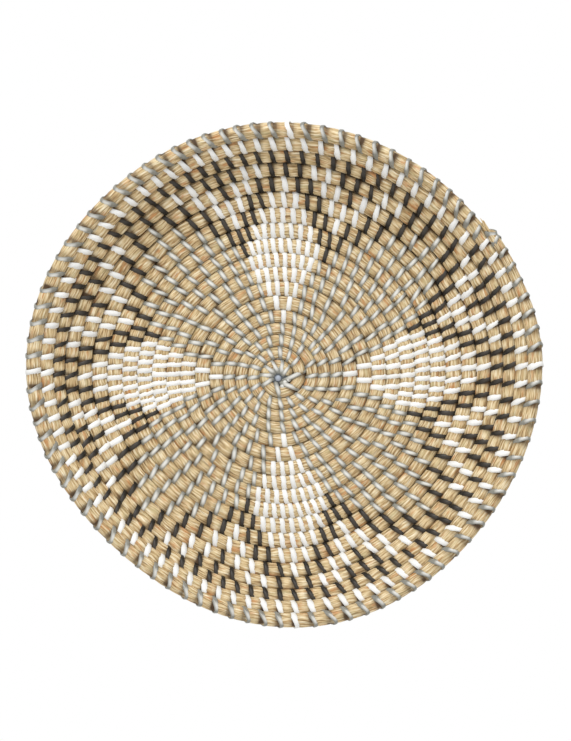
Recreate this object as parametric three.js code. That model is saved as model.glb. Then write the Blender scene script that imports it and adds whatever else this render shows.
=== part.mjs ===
import * as THREE from 'three';

// Seagrass wall basket, coiled from one bundle of dried seagrass and sewn with flat plastic twine.
// Millimetres, +Z up. The basket hangs on a wall: its flat back lies in the plane y = 0 and the
// bowl opens to -Y. The origin is the middle of the eye, where the coil starts, on the wall plane.
// The coil winds counter-clockwise, seen from the front, from the eye to the rim.

// Coil: turns, start, spacing from turn to turn and the air left between two turns
const TURNS = 18;
const START_RADIUS = 5.2;
const EYE_PITCH = 9.5;
const BASE_PITCH = 11.3;
const WALL_PITCH = 12.4;
const TURN_GAP = 0.9;

// Where the spacing widens, counted in turns from the eye
const BASE_PITCH_FROM = 3;
const BASE_PITCH_OVER = 3;
const WALL_PITCH_FROM = 8;
const WALL_PITCH_OVER = 4;

// Bowl: the flat base bends up to the wall over a few turns
const WALL_SLOPE = THREE.MathUtils.degToRad(40);
const BEND_FROM = 10.5;
const BEND_OVER = 4.5;

// The two ends of the bundle are thinned out over a part of a turn
const SEAM_ANGLE = THREE.MathUtils.degToRad(35.5);
const START_THICKNESS = 4.6;
const START_TAPER = 0.5;
const TAIL_THICKNESS = 6;
const TAIL_TURNS = 0.062;
const TAIL_TAPER_TURNS = 0.03;

// Section of the bundle: a ridge in front, two shoulders and a flat back, as shares of its half width
const SHOULDER_HEIGHT = 0.3;
const BACK_WIDTH = 0.62;

// Facets
const STEPS_PER_TURN = 32;
const INNER_STEPS_PER_TURN = 16;
const INNER_TURNS = 4;

// Twine: width, height, clearance over the bundle, and distance of its lanes from the groove middle
const TWINE_WIDTH = 2.1;
const TWINE_HEIGHT = 1.5;
const TWINE_CLEARANCE = 0.4;
const LANE_INSET = 2.2;
const STITCH_LEAN = THREE.MathUtils.degToRad(15);

// Stitches: how many go round a turn, by the part of the basket
const RIM_STITCHES = 88;
const HALF_QUARTER = 10;

// Petals point along these angles, counter-clockwise from the right, as the weaver set them by hand
const PETAL_ANGLES = [2.6, 87.6, 178.8, 273.5].map((angle) => THREE.MathUtils.degToRad(angle));
const PETAL_NAMES = ['east', 'north', 'west', 'south'];

// Rings are counted from the rim: 1 is the rim turn
const CHEVRON_INNER_RING = 9;
const CHEVRON_OUTER_RING = 4;
const PETAL_INNER_RING = 14;
const PETAL_INNER_STITCHES = { 14: 32, 13: 36, 12: 44, 11: 56, 10: 68 };
const BAND_STITCHES = 2;

// Centre knot and finishing cross stitch
const KNOT_RADIUS = 2.6;
const KNOT_HEIGHT = 6;
const CROSS_BEFORE_END = 7.4;
const CROSS_CLEARANCE = 5;
const CROSS_REACH = 3.4;
const CROSS_LIFT = 1.3;

const FINE_STEPS = 64;

function smooth(value) {
  const t = THREE.MathUtils.clamp(value, 0, 1);
  return t * t * (3 - 2 * t);
}

function pitchAt(turn) {
  const base = (BASE_PITCH - EYE_PITCH) * smooth((turn - BASE_PITCH_FROM) / BASE_PITCH_OVER);
  const wall = (WALL_PITCH - BASE_PITCH) * smooth((turn - WALL_PITCH_FROM) / WALL_PITCH_OVER);
  return EYE_PITCH + base + wall;
}

function slopeAt(turn) {
  return WALL_SLOPE * smooth((turn - BEND_FROM) / BEND_OVER);
}

// Full width of the bundle, thinned at its two ends: short at the start, and along the tail
function thicknessAt(turn) {
  const full = pitchAt(turn) - TURN_GAP;
  if (turn < START_TAPER) {
    return START_THICKNESS + (full - START_THICKNESS) * smooth(turn / START_TAPER);
  }
  const left = TURNS - turn;
  if (left < TAIL_TURNS) {
    const share = (left - TAIL_TURNS + TAIL_TAPER_TURNS) / TAIL_TAPER_TURNS;
    return TAIL_THICKNESS + (full - TAIL_THICKNESS) * smooth(share);
  }
  return full;
}

// Radius and rise of the coil's middle, added up along the turns in fine steps
const radii = [START_RADIUS];
const rises = [0];
for (let step = 0; step < TURNS * FINE_STEPS; step += 1) {
  const turn = (step + 0.5) / FINE_STEPS;
  radii.push(radii[step] + (pitchAt(turn) * Math.cos(slopeAt(turn))) / FINE_STEPS);
  rises.push(rises[step] + (pitchAt(turn) * Math.sin(slopeAt(turn))) / FINE_STEPS);
}

function tableAt(table, turn) {
  const place = THREE.MathUtils.clamp(turn * FINE_STEPS, 0, table.length - 1);
  const low = Math.min(Math.floor(place), table.length - 2);
  return table[low] + (table[low + 1] - table[low]) * (place - low);
}

// Turn of the finishing stitch, and the last place for a rim stitch, which leans, before it
const RIM_LENGTH = 2 * Math.PI * radii[TURNS * FINE_STEPS];
const CROSS_TURN = TURNS - CROSS_BEFORE_END / RIM_LENGTH;
const LAST_RIM_TURN = CROSS_TURN - (CROSS_REACH + TWINE_WIDTH + CROSS_CLEARANCE) / RIM_LENGTH;

// Middle of the bundle at a turn, with the direction across it and the one out of its front
function frameAt(turn) {
  const angle = SEAM_ANGLE + turn * 2 * Math.PI;
  const slope = slopeAt(turn);
  const outward = new THREE.Vector3(Math.cos(angle), 0, Math.sin(angle));
  const forward = new THREE.Vector3(0, -1, 0);
  const across = outward.clone().multiplyScalar(Math.cos(slope)).addScaledVector(forward, Math.sin(slope));
  const front = forward.clone().multiplyScalar(Math.cos(slope)).addScaledVector(outward, -Math.sin(slope));
  const half = thicknessAt(turn) / 2;
  const fullHalf = (pitchAt(turn) - TURN_GAP) / 2;
  const middle = outward.clone().multiplyScalar(tableAt(radii, turn));
  const isTail = turn > TURNS - TAIL_TURNS;
  const seat = (isTail ? fullHalf : half) * (Math.cos(slope) + BACK_WIDTH * Math.sin(slope));
  middle.addScaledVector(forward, tableAt(rises, turn) + seat);
  if (isTail) {
    middle.addScaledVector(across, half - fullHalf);
  }
  return { middle, across, front, half };
}

function sectionPoint(frame, acrossShare, frontShare) {
  return frame.middle
    .clone()
    .addScaledVector(frame.across, acrossShare * frame.half)
    .addScaledVector(frame.front, frontShare * frame.half);
}

// Turns at which the coil has a section, the same angles on each turn so that the facets nest
function sectionTurns() {
  const turns = [];
  for (let step = 0; step < INNER_TURNS * INNER_STEPS_PER_TURN; step += 1) {
    turns.push(step / INNER_STEPS_PER_TURN);
  }
  for (let step = 0; step <= (TURNS - INNER_TURNS) * STEPS_PER_TURN; step += 1) {
    turns.push(INNER_TURNS + step / STEPS_PER_TURN);
  }
  return turns;
}

const coilTurns = sectionTurns();

function middleOf(points) {
  const sum = new THREE.Vector3();
  points.forEach((point) => sum.add(point));
  return sum.divideScalar(points.length);
}

// Whether a twisted face between two sections bulges outward when it is folded from its first corner
function bulgesAcross(section, following, side, next) {
  const fold = section[side].clone().add(following[next]).sub(section[next]).sub(following[side]);
  const face = middleOf([section[side], section[next], following[side], following[next]]);
  return fold.dot(face.sub(middleOf([...section, ...following]))) > 0;
}

// Closed body through a list of sections that all have the same number of points
function loft(sections) {
  const sides = sections[0].length;
  const positions = [];
  const indices = [];
  for (const section of sections) {
    for (const point of section) {
      positions.push(point.x, point.y, point.z);
    }
  }
  for (let step = 0; step < sections.length - 1; step += 1) {
    for (let side = 0; side < sides; side += 1) {
      const next = (side + 1) % sides;
      const a = step * sides + side;
      const b = step * sides + next;
      if (bulgesAcross(sections[step], sections[step + 1], side, next)) {
        indices.push(a, a + sides, b + sides, a, b + sides, b);
      } else {
        indices.push(a, a + sides, b, b, a + sides, b + sides);
      }
    }
  }
  const last = (sections.length - 1) * sides;
  for (let side = 1; side < sides - 1; side += 1) {
    indices.push(0, side, side + 1);
    indices.push(last, last + side + 1, last + side);
  }
  const geometry = new THREE.BufferGeometry();
  geometry.setAttribute('position', new THREE.Float32BufferAttribute(positions, 3));
  geometry.setIndex(turnedOutward(positions, indices));
  geometry.computeVertexNormals();
  return geometry;
}

// A body whose enclosed volume comes out negative has its faces turned round
function turnedOutward(positions, indices) {
  const corner = (index) => new THREE.Vector3().fromArray(positions, index * 3);
  let volume = 0;
  for (let face = 0; face < indices.length; face += 3) {
    const [a, b, c] = [indices[face], indices[face + 1], indices[face + 2]].map(corner);
    volume += a.dot(b.cross(c)) / 6;
  }
  if (volume > 0) {
    return indices;
  }
  const turned = [];
  for (let face = 0; face < indices.length; face += 3) {
    turned.push(indices[face], indices[face + 2], indices[face + 1]);
  }
  return turned;
}

function coilSection(turn) {
  const frame = frameAt(turn);
  return [
    sectionPoint(frame, 0, 1),
    sectionPoint(frame, 1, SHOULDER_HEIGHT),
    sectionPoint(frame, BACK_WIDTH, -1),
    sectionPoint(frame, -BACK_WIDTH, -1),
    sectionPoint(frame, -1, SHOULDER_HEIGHT),
  ];
}

// A point on the front of the faceted bundle: across is the distance from the ridge
function roofPoint(turn, across, lift) {
  const steps = turn < INNER_TURNS ? INNER_STEPS_PER_TURN : STEPS_PER_TURN;
  const low = Math.floor(turn * steps + 1e-9) / steps;
  const share = (turn - low) * steps;
  const ends = [low, low + 1 / steps].map((end) => roofPointAtSection(end, across, lift));
  return {
    place: ends[0].place.lerp(ends[1].place, share),
    normal: ends[0].normal.lerp(ends[1].normal, share).normalize(),
  };
}

function roofPointAtSection(turn, across, lift) {
  const frame = frameAt(turn);
  const pitchRoof = Math.atan(1 - SHOULDER_HEIGHT);
  const side = Math.sign(across);
  const normal = frame.front.clone().multiplyScalar(side === 0 ? 1 : Math.cos(pitchRoof));
  normal.addScaledVector(frame.across, side * Math.sin(pitchRoof));
  const clear = side === 0 ? lift / Math.cos(pitchRoof) : lift;
  const place = frame.middle.clone().addScaledVector(frame.across, across);
  place.addScaledVector(frame.front, frame.half - Math.abs(across) * (1 - SHOULDER_HEIGHT));
  place.addScaledVector(normal, clear);
  return { place, normal };
}

function laneAt(turn) {
  return (thicknessAt(turn) + TURN_GAP) / 2 - LANE_INSET;
}

// Twine along a path of places on the bundle: a three-sided thread with mitred corners
function twine(path, width = TWINE_WIDTH) {
  const sections = path.map((point, index) => {
    const before = path[Math.max(index - 1, 0)].place;
    const after = path[Math.min(index + 1, path.length - 1)].place;
    const incoming = point.place.clone().sub(before);
    const outgoing = after.clone().sub(point.place);
    if (index === 0) {
      incoming.copy(outgoing);
    }
    if (index === path.length - 1) {
      outgoing.copy(incoming);
    }
    const sideIn = incoming.cross(point.normal).normalize();
    const sideOut = outgoing.cross(point.normal).normalize();
    const side = sideIn.clone().add(sideOut).normalize();
    const reach = width / 2 / Math.max(side.dot(sideIn), 0.5);
    return [
      point.place.clone().addScaledVector(side, reach),
      point.place.clone().addScaledVector(point.normal, TWINE_HEIGHT),
      point.place.clone().addScaledVector(side, -reach),
    ];
  });
  return loft(sections);
}

// How far, in turns, a stitch leans over half its length
function leanAt(turn, across) {
  return (Math.abs(across) * Math.tan(STITCH_LEAN)) / (2 * Math.PI * tableAt(radii, turn));
}

// One stitch over the bundle, from one lane over the ridge to the other
function stitchPath(turn, outwardGoing) {
  const lane = laneAt(turn);
  const lean = leanAt(turn, lane);
  const points = [
    roofPoint(turn - lean, -lane, TWINE_CLEARANCE),
    roofPoint(turn, 0, TWINE_CLEARANCE),
    roofPoint(turn + lean, lane, TWINE_CLEARANCE),
  ];
  return outwardGoing ? points : points.reverse();
}

// Twine between two stitches. It needs no points of its own, except past the seam, where each ring steps
// over to the neighbouring turn: there it goes back over the ridge, or round one more stitch.
function stepOver(before, stitch) {
  const turnsApart = Math.round(stitch.turn - before.turn);
  const turnsRound = before.outward !== stitch.outward;
  const middle = (before.turn + turnsApart + stitch.turn) / 2;
  if (turnsRound) {
    return turnsApart === 0 ? [] : stitchPath(middle, before.outward);
  }
  return turnsApart === 0 ? [roofPoint(middle, 0, TWINE_CLEARANCE)] : [];
}

// Twine through a list of stitches, crossing the bundle at each one
function lace(stitches) {
  const path = stitches.flatMap((stitch, index) => [
    ...(index > 0 ? stepOver(stitches[index - 1], stitch) : []),
    ...stitchPath(stitch.turn, stitch.outward),
  ]);
  return twine(path);
}

// Turn count from the eye of a place given by its ring, counted from the rim, and its angle
function turnAt(ring, angle) {
  const round = THREE.MathUtils.euclideanModulo(angle - SEAM_ANGLE, 2 * Math.PI) / (2 * Math.PI);
  return TURNS - ring + round;
}

// Angle of a stitch counted from a petal's middle, positive counter-clockwise
function stitchAngle(petal, count) {
  const own = PETAL_ANGLES[petal];
  const other = PETAL_ANGLES[(petal + (count > 0 ? 1 : 3)) % 4];
  const span = count > 0
    ? THREE.MathUtils.euclideanModulo(other - own, 2 * Math.PI)
    : THREE.MathUtils.euclideanModulo(own - other, 2 * Math.PI);
  return own + (count * span) / (2 * HALF_QUARTER);
}

const COLOURS = {
  seagrass: { color: 0xc7ac7c, roughness: 0.85 },
  twine_grey: { color: 0xa3a6a1, roughness: 0.4 },
  twine_white: { color: 0xf3f3ef, roughness: 0.45 },
  twine_black: { color: 0x383432, roughness: 0.45 },
};

const basket = new THREE.Group();

function add(name, geometry, colour) {
  const { color, roughness } = COLOURS[colour];
  const material = new THREE.MeshStandardMaterial({ color, roughness, metalness: 0, name: colour });
  const mesh = new THREE.Mesh(geometry, material);
  mesh.name = name;
  basket.add(mesh);
}

// The coil itself, one unbroken bundle
add('seagrass_coil', loft(coilTurns.map(coilSection)), 'seagrass');

// Knot at the start of the twine, filling the eye, flat where it meets the wall
function centreKnot() {
  const crown = KNOT_RADIUS * 0.6;
  const profile = [
    new THREE.Vector2(0, 0),
    new THREE.Vector2(KNOT_RADIUS, 0),
    new THREE.Vector2(KNOT_RADIUS, KNOT_HEIGHT - crown),
    new THREE.Vector2(KNOT_RADIUS * 0.7, KNOT_HEIGHT - crown * 0.3),
    new THREE.Vector2(0, KNOT_HEIGHT),
  ];
  const geometry = new THREE.LatheGeometry(profile, 12);
  return geometry.rotateX(Math.PI);
}
add('centre_knot', centreKnot(), 'twine_grey');

// Rim turn in grey, second turn in white, third turn in black
function ringStitches(ring, lastTurn) {
  const stitches = [];
  const halfStep = 0.5 / RIM_STITCHES;
  for (let turn = TURNS - ring + halfStep; turn <= lastTurn; turn += 1 / RIM_STITCHES) {
    stitches.push({ turn, outward: stitches.length % 2 === 0 });
  }
  return stitches;
}

// The rim turn shows a white stitch at each petal: the grey one there is left out of the lace
const rimStitches = ringStitches(1, LAST_RIM_TURN);
const rimWhite = PETAL_ANGLES.map((angle) => {
  const turn = turnAt(1, angle);
  const gaps = rimStitches.map((stitch) => Math.abs(stitch.turn - turn));
  return gaps.indexOf(Math.min(...gaps));
});
const rimGrey = rimStitches
  .filter((stitch, index) => !rimWhite.includes(index))
  .map((stitch, index) => ({ turn: stitch.turn, outward: index % 2 === 0 }));
add('rim_grey_twine', lace(rimGrey), 'twine_grey');
rimWhite.forEach((place, petal) => {
  const { turn } = rimStitches[place];
  const carriedOutside = (rimGrey.filter((stitch) => stitch.turn < turn).length % 2) === 1;
  const lane = laneAt(turn);
  const shortLane = lane - TWINE_WIDTH - 2 * TWINE_CLEARANCE;
  const inner = carriedOutside ? lane : shortLane;
  const outer = carriedOutside ? shortLane : lane;
  const path = [
    roofPoint(turn - leanAt(turn, inner), -inner, TWINE_CLEARANCE),
    roofPoint(turn, 0, TWINE_CLEARANCE),
    roofPoint(turn + leanAt(turn, outer), outer, TWINE_CLEARANCE),
  ];
  add(`rim_white_stitch_${PETAL_NAMES[petal]}`, twine(path), 'twine_white');
});
add('second_turn_white_twine', lace(ringStitches(2, TURNS - 1)), 'twine_white');
add('third_turn_black_twine', lace(ringStitches(3, TURNS - 2)), 'twine_black');

// Petals: rows of white stitches, one more at each side from row to row, then one less
function petalRow(petal, ring, count, leftToRight) {
  const row = [];
  for (let index = 0; index < count; index += 1) {
    const offset = index - (count - 1) / 2;
    const angle = ring > CHEVRON_INNER_RING
      ? PETAL_ANGLES[petal] + (offset * 2 * Math.PI) / PETAL_INNER_STITCHES[ring]
      : stitchAngle(petal, offset);
    row.push(turnAt(ring, angle));
  }
  row.sort((a, b) => (leftToRight ? a - b : b - a));
  return row.map((turn, index) => ({ turn, outward: index % 2 === 0 }));
}

PETAL_NAMES.forEach((name, petal) => {
  const stitches = [];
  let forward = true;
  for (let ring = PETAL_INNER_RING; ring > CHEVRON_OUTER_RING; ring -= 1) {
    const growing = 2 * (PETAL_INNER_RING - ring) + 1;
    const shrinking = 2 * (ring - CHEVRON_OUTER_RING) - 1;
    stitches.push(...petalRow(petal, ring, Math.min(growing, shrinking), forward));
    forward = !forward;
  }
  add(`petal_${name}_white_twine`, lace(stitches), 'twine_white');
});

// Chevrons: one nest of three on each side of each petal, their tips in the innermost chevron ring.
// A band runs out along one arm and back beside itself, then along the other arm.
function chevronBand(petal, side, level) {
  const lastArm = -side;
  const top = CHEVRON_INNER_RING - CHEVRON_OUTER_RING;
  const half = HALF_QUARTER / 2;
  const at = (row, fromTip) => {
    const angle = stitchAngle(petal, side * (half + fromTip));
    return turnAt(CHEVRON_INNER_RING - row, angle);
  };
  const stitches = [];
  const arm = (direction, firstRow) => {
    for (let row = firstRow; row <= top; row += 1) {
      const fromTip = row - level;
      if (fromTip < half || direction === lastArm) {
        stitches.push({ turn: at(row, direction * fromTip), outward: true });
      }
    }
    const armTop = top - level;
    const skipped = armTop >= half && direction !== lastArm;
    for (let row = skipped ? top - 1 : top; row > level + 1; row -= 1) {
      stitches.push({ turn: at(row, direction * (row - level - 1)), outward: false });
    }
  };
  arm(-1, level);
  if (top > level) {
    stitches.push({ turn: at(level + 1, 0), outward: false });
    arm(1, level + 1);
  }
  return stitches;
}

PETAL_NAMES.forEach((name, petal) => {
  [1, -1].forEach((side) => {
    const place = `${name}_${side > 0 ? 'left' : 'right'}`;
    add(`chevron_${place}_black_outer`, lace(chevronBand(petal, side, 0)), 'twine_black');
    add(`chevron_${place}_white_middle`, lace(chevronBand(petal, side, BAND_STITCHES)), 'twine_white');
    add(`chevron_${place}_black_core`, lace(chevronBand(petal, side, 2 * BAND_STITCHES)), 'twine_black');
  });
});

// Finishing stitch: two grey twines crossed over the end of the rim turn
function crossPath(sense, lift) {
  const lane = laneAt(CROSS_TURN);
  const reach = (sense * CROSS_REACH) / (2 * Math.PI * tableAt(radii, CROSS_TURN));
  return [
    roofPoint(CROSS_TURN - reach, -lane, TWINE_CLEARANCE),
    roofPoint(CROSS_TURN, 0, TWINE_CLEARANCE + lift),
    roofPoint(CROSS_TURN + reach, lane, TWINE_CLEARANCE),
  ];
}
add('finishing_stitch_under', twine(crossPath(1, 0)), 'twine_grey');
add('finishing_stitch_over', twine(crossPath(-1, TWINE_HEIGHT + CROSS_LIFT)), 'twine_grey');

// Least gap of the coil to itself, measured from the edges of one turn to those of the next
function leastSelfGap() {
  let least = Infinity;
  for (let turn = 0; turn <= TURNS - 1; turn += 1 / STEPS_PER_TURN) {
    const inner = coilSection(turn);
    const outer = coilSection(turn + 1);
    for (const a of inner) {
      for (const b of outer) {
        least = Math.min(least, a.distanceTo(b));
      }
    }
  }
  return least * Math.cos(Math.PI / STEPS_PER_TURN);
}
console.log(`least gap of the coil to itself: ${leastSelfGap().toFixed(2)} mm`);

export default basket;
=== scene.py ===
"""Seagrass wall basket: one bundle of dried seagrass coiled from the eye to the rim, sewn with plastic twine.

Metres, +Z up, the wall is the plane y = 0 and the bowl opens to -Y. The coil winds counter-clockwise,
seen from the front. Places along it are given in turns from the eye, rings are counted from the rim.
"""
import math

import bmesh
import bpy
import numpy as np
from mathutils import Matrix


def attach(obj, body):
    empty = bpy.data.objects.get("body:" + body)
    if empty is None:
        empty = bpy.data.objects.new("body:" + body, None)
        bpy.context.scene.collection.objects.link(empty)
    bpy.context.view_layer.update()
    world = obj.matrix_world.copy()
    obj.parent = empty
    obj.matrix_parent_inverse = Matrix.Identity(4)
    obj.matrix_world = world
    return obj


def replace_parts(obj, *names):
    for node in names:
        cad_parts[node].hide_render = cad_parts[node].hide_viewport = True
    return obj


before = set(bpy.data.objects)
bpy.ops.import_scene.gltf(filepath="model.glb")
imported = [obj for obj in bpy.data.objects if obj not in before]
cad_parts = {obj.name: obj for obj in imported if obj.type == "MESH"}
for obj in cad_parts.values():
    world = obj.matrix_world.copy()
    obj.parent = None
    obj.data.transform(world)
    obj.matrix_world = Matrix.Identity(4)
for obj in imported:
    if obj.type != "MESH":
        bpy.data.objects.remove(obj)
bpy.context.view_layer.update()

MM = 0.001
FULL_TURN = 2 * math.pi

# The photograph: its size, and what one pixel measures at the rim
PHOTO_WIDTH = 571
PHOTO_HEIGHT = 741
PIXEL = 0.777 * MM
EYE_PIXEL = (277.8, 378.0)
RIM_DEPTH = 50 * MM
CAMERA_TO_RIM = 3.0
CAMERA_REACH = 20.0
SENSOR = 36.0

# Studio: the world's light on the basket, one soft lamp and a floor below what the photograph shows
WORLD_LIGHT = 0.77
KEY_LAMP_PLACE = (-0.5, -1.55, 2.45)
KEY_LAMP_SIZE = 1.2
KEY_LAMP_POWER = 49.0
FLOOR_BELOW = 0.62
FLOOR_SIZE = 4.0

# Coil, as in the solids
TURNS = 18
START_RADIUS = 5.2 * MM
EYE_PITCH = 9.5 * MM
BASE_PITCH = 11.3 * MM
WALL_PITCH = 12.4 * MM
BASE_PITCH_FROM = 3
BASE_PITCH_OVER = 3
WALL_PITCH_FROM = 8
WALL_PITCH_OVER = 4
WALL_SLOPE = math.radians(40)
BEND_FROM = 10.5
BEND_OVER = 4.5
SEAM_ANGLE = math.radians(35.5)
# The start in the eye and the tail at the rim: their thickness, and the turns over which they thin
START_THICKNESS = 8.8 * MM
START_TURN = -0.12
START_THINNING = 0.45
START_TAPER = 0.6
EYE_OPENING = 2.2 * MM
TAIL_THICKNESS = 7.2 * MM
TAIL_TURNS = 0.075
TAIL_TAPER_TURNS = 0.045
END_POINT_TURNS = 0.004
END_POINT_LEAST = 0.02
# The part of its half width on which the bundle stands where the wall slopes
BACK_WIDTH = 0.62
# Steps in a turn in which the coil's radius and rise are added up
FINE_STEPS = 256

# Hand-made unevenness, in millimetres: how far the turns lie out from the regular spiral, and how they
# are off centre and out of round, as so many waves in a turn, each with its cosine and sine parts at
# the eye, halfway and at the rim. At the very start the waves are smaller.
GAIN_TURNS = (0, 1.5, 3, 6, 9, 12, 15, 16.5, 18)
GAINS = (0.6, 1.9, 1.3, 1.5, 0.75, 0.3, 2.0, 0.95, -0.9)
WAVES = (
    (1, (1.4, 2.4), (0.4, 1.6), (4.4, 6.8)),
    (2, (0, 0), (1.3, 1.4), (1.0, -1.5)),
    (3, (0, 0), (0.4, -0.2), (-1.5, 1.9)),
    (4, (0, 0), (1.8, -0.4), (2.0, 0.6)),
)
WAVE_AT_START = 0.4
# The last turn is slimmer than the wall below it
RIM_SLIMMING = 0.16
RIM_SLIMMING_TURNS = 1.5

# Bundle: its girth, the squareness of its section, how deep the stitches draw it in and how flat it is
# between them, how far it reaches into its neighbours, its strands and their twist
BUNDLE_GIRTH = math.pi * BASE_PITCH
SQUARENESS = 2.25
CINCH = 0.17
BULGE_FLATNESS = 0.6
ACROSS_OVERLAP = 0.4 * MM
STEPS_ROUND = 32
STRANDS = 19
STRAND_DEPTH = 0.24 * MM
TWIST_PER_METRE = 5.0
# Strands wander round the bundle by this share of a turn, and change course so many times in a metre
STRAND_WANDER = 0.35
WANDERS_PER_METRE = 14.0
# The middle height of a strand's ridge, as a share of its depth
RIDGE_MIDDLE = 0.7
# The bundle is three pieces, which meet under a stitch near these turns
PIECE_CUTS = (9.3, 14.4)

# Painted shade in the hollows beside the stitches: how dark they are painted at some shares of the way from
# one stitch to the next
INTERVAL_SHARES = (0.0, 0.14, 0.23, 0.4, 0.6, 0.77, 0.86)
INTERVAL_SHADES = (0.9, 0.6, 0.22, 0.0, 0.0, 0.3, 0.7)
# Painted shade in the grooves between the turns: how dark it is, and how much paler it is painted in the last
# two turns
OUTER_GROOVE_SHADE = 0.75
INNER_GROOVE_SHADE = 0.65
RIM_GROOVE_SHADE_FADE = 0.4
RIM_GROOVE_TURNS = 2.5
# Where the painted shade of a groove starts, how much nearer the crown beside a stitch, and where it is full
GROOVE_FROM = 0.72
GROOVE_WIDENING = 0.3
GROOVE_FULL = 0.95

# Twine: width, thickness, and the lean of a stitch in degrees at some turns of the coil
TWINE_WIDTHS = {"grey": 4.1 * MM, "white": 5.35 * MM, "black": 4.2 * MM}
TWINE_THICKNESS = 1.8 * MM
WIDTH_SPREAD = 0.06
LEAN_TURNS = (6, 10, 12.5, 15, 17)
STITCH_LEANS = {
    "grey": (15.5, 16, 17, 20, 34),
    "white": (6, 15, 17, 20, 22),
    "black": (13, 13, 17, 24, 25),
}
LEAN_SPREAD = 4
# The white ribbon is drawn narrower near the eye
WHITE_NARROWING = 0.82
WHITE_NARROWING_TURNS = (5, 9)
# The grey twine is painted darker where it is drawn over the rim, as painted shade, and spreads wider there
RIM_GREY_PAINTED_SHADE = -0.8
RIM_GREY_WIDENING = 0.12
RIM_GREY_TURNS = 2
# Steps of a wrap round the bundle, and sides of its thread
LOOP_STEPS = 16
LOOP_SIDES = 6
# The thread's middle is lifted by this share of half its height, so a quarter of it is pressed in
THREAD_LIFT = 0.5
# Its width in the grooves, and how much more it is on the crown, as shares of the full width
GROOVE_THREAD_WIDTH = 0.88
CROWN_THREAD_GAIN = 0.14
# Corners nearer to each other than this are joined
WELD = 0.002 * MM

# Stitches in a quarter of each ring, ring 1 at the rim, by quarter from the east. The inner rings have
# the same number in each quarter.
QUARTER_STITCHES = {
    1: (22, 23, 23, 21),
    2: (21, 23, 23, 21),
    3: (21, 23, 23, 21),
    **{ring: (21, 20, 20, 20) for ring in range(4, 9)},
    **{ring: (count,) * 4 for ring, count in enumerate((20, 17, 14, 11, 9, 8, 6, 5, 4), start=9)},
}
# The quarter that the seam crosses, from the east to the north
SEAM_QUARTER = 0
# How much closer the stitches stand at a petal's middle than halfway to the next, by ring
PACKING_BY_RING = (0.012, 0.012, 0.014, 0.03, 0.037, 0.045, 0.055, 0.062, 0.067, 0.065, 0.065, 0.09)
PACKING = dict(enumerate(PACKING_BY_RING, start=1))
PACKING_SHARPNESS = 0.18
# How much of that closeness each quarter has, from the east
RIM_QUARTER_PACKINGS = (-0.7, 0.6, 1.3, 0.3)
OUTER_QUARTER_PACKINGS = (0.5, 0.6, 1.3, 0.3)
QUARTER_PACKINGS = (0.5, 0.85, 1.0, 0.7)
INNER_QUARTER_PACKINGS = (0.7, 0.85, 1.0, 0.7)
# How far the stitches halfway between two petals stand nearer the earlier one, by quarter from the east
OUTER_QUARTER_SKEWS = (0.022, 0.012, 0.006, 0.015)
QUARTER_SKEWS = (0.032, 0.037, 0.037, 0.006)
INNER_QUARTER_SKEWS = (0.01, 0.015, 0.027, 0.003)
# The eye's own stitches, and how near its middle they reach
EYE_STITCH_ANGLES = tuple(math.radians(angle) for angle in (7, 43, 70, 105, 135, 167, 203, 270, 325))
EYE_RING = 18
EYE_STITCH_RADIUS = 3.4 * MM

# Figures: white stitches of a petal in the inner rings, petal axes, and the rows of the chevrons
PETAL_WHITES = {10: 8, 11: 6, 12: 4, 13: 2, 14: 1}
PETAL_ANGLES = tuple(math.radians(angle) for angle in (2.5, 87.1, 178.3, 273.9))
# How far each petal's axis turns from the rim to the innermost chevron row, and then to its tip
PETAL_TWISTS = tuple(math.radians(angle) for angle in (0.8, 1.5, 2.2, 1.8))
PETAL_TIP_TWISTS = tuple(math.radians(angle) for angle in (0, -4, -1.5, 0))
PETAL_TIP_RINGS = (11, 14)
PETAL_NAMES = ("east", "north", "west", "south")
CHEVRON_INNER_RING = 9
CHEVRON_OUTER_RING = 4
# A chevron's middle stands so many stitches from the petal's middle
CHEVRON_STEPS = 5

# Where the two finishing stitches cross, and the gap that other stitches keep before it, in turns. Each
# has its distance from the crossing, in turns, and its lean in degrees.
CROSS_TURN = TURNS - 0.0067
CROSS_GAP_TURNS = 0.01
CROSS_STITCHES = (("finishing_stitch_under", -0.003, 40), ("finishing_stitch_over", 0.003, -38))
CROSS_WIDTH = 1.3

# The knot in the eye, in millimetres: places as across, depth and up, and radii in the plane and in depth
EYE_BED = ((0.0, -4.0, 0.0), (12.8, 3.2))
KNOT_LOOPS = (("low", (3.6, -6.9, -6.6)), ("middle", (5.7, -6.9, -3.4)), ("right", (8.2, -6.9, -1.3)))
KNOT_LOOP_RADII = (2.1, 2.3)
KNOT_END = ((0.2, -7.6, -0.3), (2.4, 1.9))
BED_STEPS = (32, 12)
KNOT_STEPS = (20, 10)

# Loose blades at the tail: how many, how far before the end they start, in turns, where in the bundle
# they lie and how they spread, their lengths, and their half widths at some shares of the length
BLADE_COUNT = 16
BLADE_FROM_END = 0.0015
BLADE_SIDES = (-0.8, 0.9)
BLADE_LIFTS = (-0.5, 0.9)
BLADE_ROOT_SPREAD = 0.6
BLADE_ROOT_DEPTH = 3 * MM
BLADE_FAN = 0.16
BLADE_RISE = 0.12
BLADE_CURL = 0.6 * MM
BLADE_LENGTHS_MM = (8, 17)
BLADE_WIDTHS_MM = ((0.0, 0.9), (0.5, 0.8), (0.9, 0.4))
# Moves the blades' part of the seagrass pattern off the bundle's
BLADE_MAP_SHIFT = 4.5 * MM

# Seeds of the spread of the stitches and of the blades
STITCH_SEED = 11
BLADE_SEED = 5

stitch_draws = np.random.default_rng(STITCH_SEED)


def smooth(value):
    """A soft step from 0 to 1."""
    share = np.clip(value, 0, 1)
    return share * share * (3 - 2 * share)


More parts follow.
